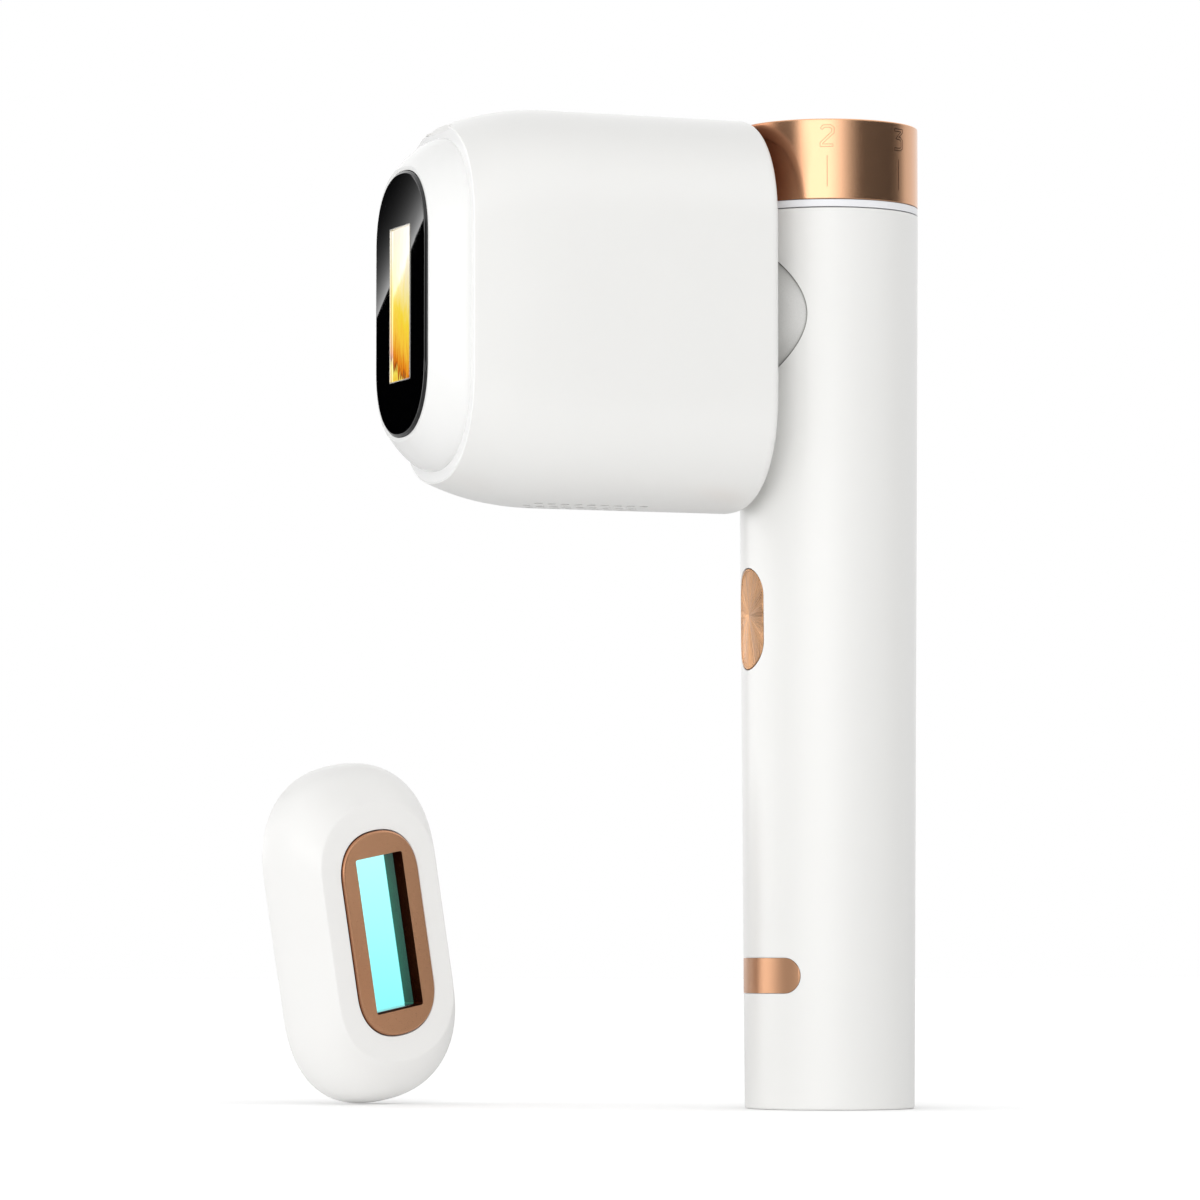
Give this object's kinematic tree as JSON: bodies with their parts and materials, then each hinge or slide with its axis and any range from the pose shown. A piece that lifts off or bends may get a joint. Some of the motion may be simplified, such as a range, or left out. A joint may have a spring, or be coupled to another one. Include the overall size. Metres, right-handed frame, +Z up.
{
  "type": "ipl hair remover",
  "caption": "Hand-held light-based hair remover: round handle with a swivelling lamp head, level dial and flash button, beside its clip-on treatment attachment.",
  "frame": {"origin": "centre of the handle's foot, on the face it stands on", "axes": "+Z up along the handle, -X the way the lamp head looks, +Y to the head's side"},
  "size_m": [0.1221, 0.1047, 0.2056],
  "materials": {
    "pearl_paint": "satin",
    "white_gloss": "gloss",
    "white_satin": "satin",
    "copper": "satin",
    "black_gloss": "polished",
    "black_plastic": "matte",
    "grey_plastic": "matte",
    "circuit_board": "satin",
    "capacitor_sleeve": "satin",
    "copper_winding": "satin",
    "connector_ivory": "satin",
    "ceramic": "matte",
    "cable_rubber": "matte",
    "steel": "satin",
    "magnet_nickel": "gloss",
    "aluminium": "satin",
    "brass": "satin",
    "amber_glass": "polished",
    "teal_glass": "polished",
    "lamp_glass": "polished"
  },
  "bodies": {
    "handle": {"handle_tube": "pearl_paint", "badge_plate": "copper", "base_cap": "white_gloss", "base_screw_1": "steel", "base_screw_2": "steel", "dc_socket": "black_plastic", "chassis": "grey_plastic", "driver_board": "circuit_board", "storage_capacitor": "capacitor_sleeve", "boost_transformer": "copper_winding", "flash_transistor": "black_plastic", "board_connector": "connector_ivory", "head_lead": "cable_rubber", "button_guide": "black_plastic", "trigger_switch": "black_plastic", "switch_board": "circuit_board", "top_ring": "white_gloss", "dial_bush": "brass", "dial_encoder": "black_plastic", "neck_bearing": "grey_plastic"},
    "dial": {"dial_cap": "copper", "dial_hub": "black_plastic", "encoder_shaft": "steel"},
    "trigger": {"trigger_button": "copper", "button_carrier": "black_plastic"},
    "head": {"head_shell": "pearl_paint", "rear_cover": "white_gloss", "neck_boss": "pearl_paint", "neck_screw_1": "steel", "neck_screw_2": "steel", "neck_screw_3": "steel", "neck_screw_4": "steel", "retaining_ring": "steel", "lamp_cable": "cable_rubber", "nose_cover": "white_gloss", "window_plate": "black_gloss", "filter_glass": "amber_glass", "sensor_board": "circuit_board", "front_frame": "black_plastic", "reflector": "aluminium", "flash_lamp": "lamp_glass", "lamp_cap_top": "brass", "lamp_cap_bottom": "brass", "lamp_holder_top": "ceramic", "lamp_holder_bottom": "ceramic", "heat_sink": "aluminium", "trigger_coil": "copper_winding", "head_board": "circuit_board", "head_magnet_top": "magnet_nickel", "head_magnet_bottom": "magnet_nickel", "fan_frame": "black_plastic"},
    "fan": {"fan_rotor": "grey_plastic"},
    "attachment": {"attachment_cover": "white_satin", "attachment_ring": "copper", "attachment_glass": "teal_glass", "attachment_magnet_1": "magnet_nickel", "attachment_magnet_2": "magnet_nickel"}
  },
  "joints": [
    {"name": "head_swivel", "type": "hinge", "parent": "handle", "child": "head", "pos_m": [0, 0, 0.1646], "axis": [1, 0, 0], "range_deg": [-165, 165]},
    {"name": "dial_turn", "type": "hinge", "parent": "handle", "child": "dial", "pos_m": [0, 0, 0.19], "axis": [0, 0, 1], "range_deg": [-102.86, 205.71]},
    {"name": "trigger_press", "type": "slide", "parent": "handle", "child": "trigger", "axis": [1, 0, 0], "range_m": [0, 0.001]},
    {"name": "fan_spin", "type": "hinge", "parent": "head", "child": "fan", "pos_m": [-0.0345, 0, 0.1471], "axis": [1, 0, 0], "continuous": true},
    {"name": "attachment_lift", "type": "slide", "parent": "handle", "child": "attachment", "axis": [0, 0, 1], "range_m": [0, 0.04]}
  ]
}
